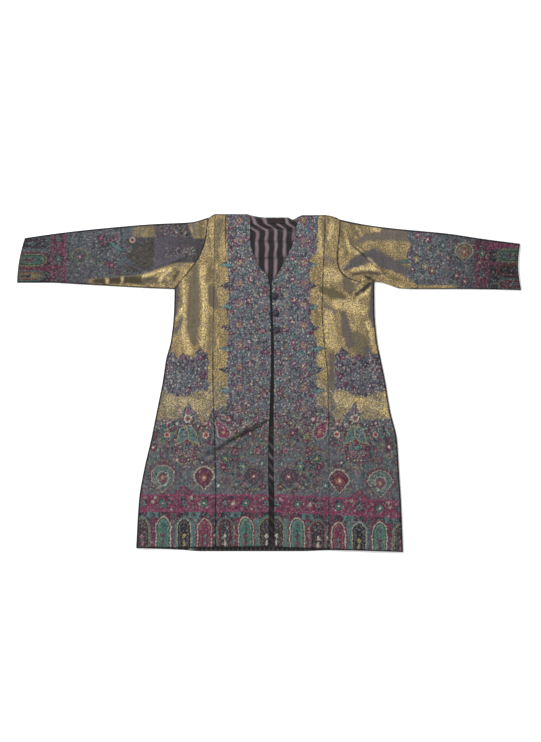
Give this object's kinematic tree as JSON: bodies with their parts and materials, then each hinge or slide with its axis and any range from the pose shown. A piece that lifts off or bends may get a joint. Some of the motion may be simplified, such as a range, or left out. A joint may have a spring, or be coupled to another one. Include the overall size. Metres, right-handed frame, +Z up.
{
  "type": "pashmina jacket laid flat",
  "caption": "Long open-front shawl-cloth jacket with long sleeves, laid flat on its back, with loops and covered buttons below a V neck.",
  "frame": {"origin": "on the surface that the jacket lies on, below the middle of its bounding box", "axes": "+X to the viewer's right, from cuff to cuff; +Y toward the neck; +Z up out of the front"},
  "size_m": [1.411, 0.946, 0.0128],
  "materials": {
    "shawl_cloth": "woven shawl cloth with metallic thread, soft sheen",
    "striped_lining": "smooth striped lining with a satin sheen",
    "label_ribbon": "plain woven ribbon, bare",
    "covered_button": "cloth-covered, matte",
    "loop_cord": "covered cord, matte"
  },
  "bodies": {
    "root": {"back": "shawl_cloth", "front_right_centre": "shawl_cloth", "front_right_side": "shawl_cloth", "front_left_centre": "shawl_cloth", "front_left_side": "shawl_cloth", "sleeve_right": "shawl_cloth", "sleeve_left": "shawl_cloth", "lining_back": "striped_lining", "neck_facing": "striped_lining", "neck_label": "label_ribbon", "button_1": "covered_button", "button_2": "covered_button", "button_3": "covered_button", "loop_1": "loop_cord", "loop_2": "loop_cord", "loop_3": "loop_cord"}
  },
  "joints": []
}
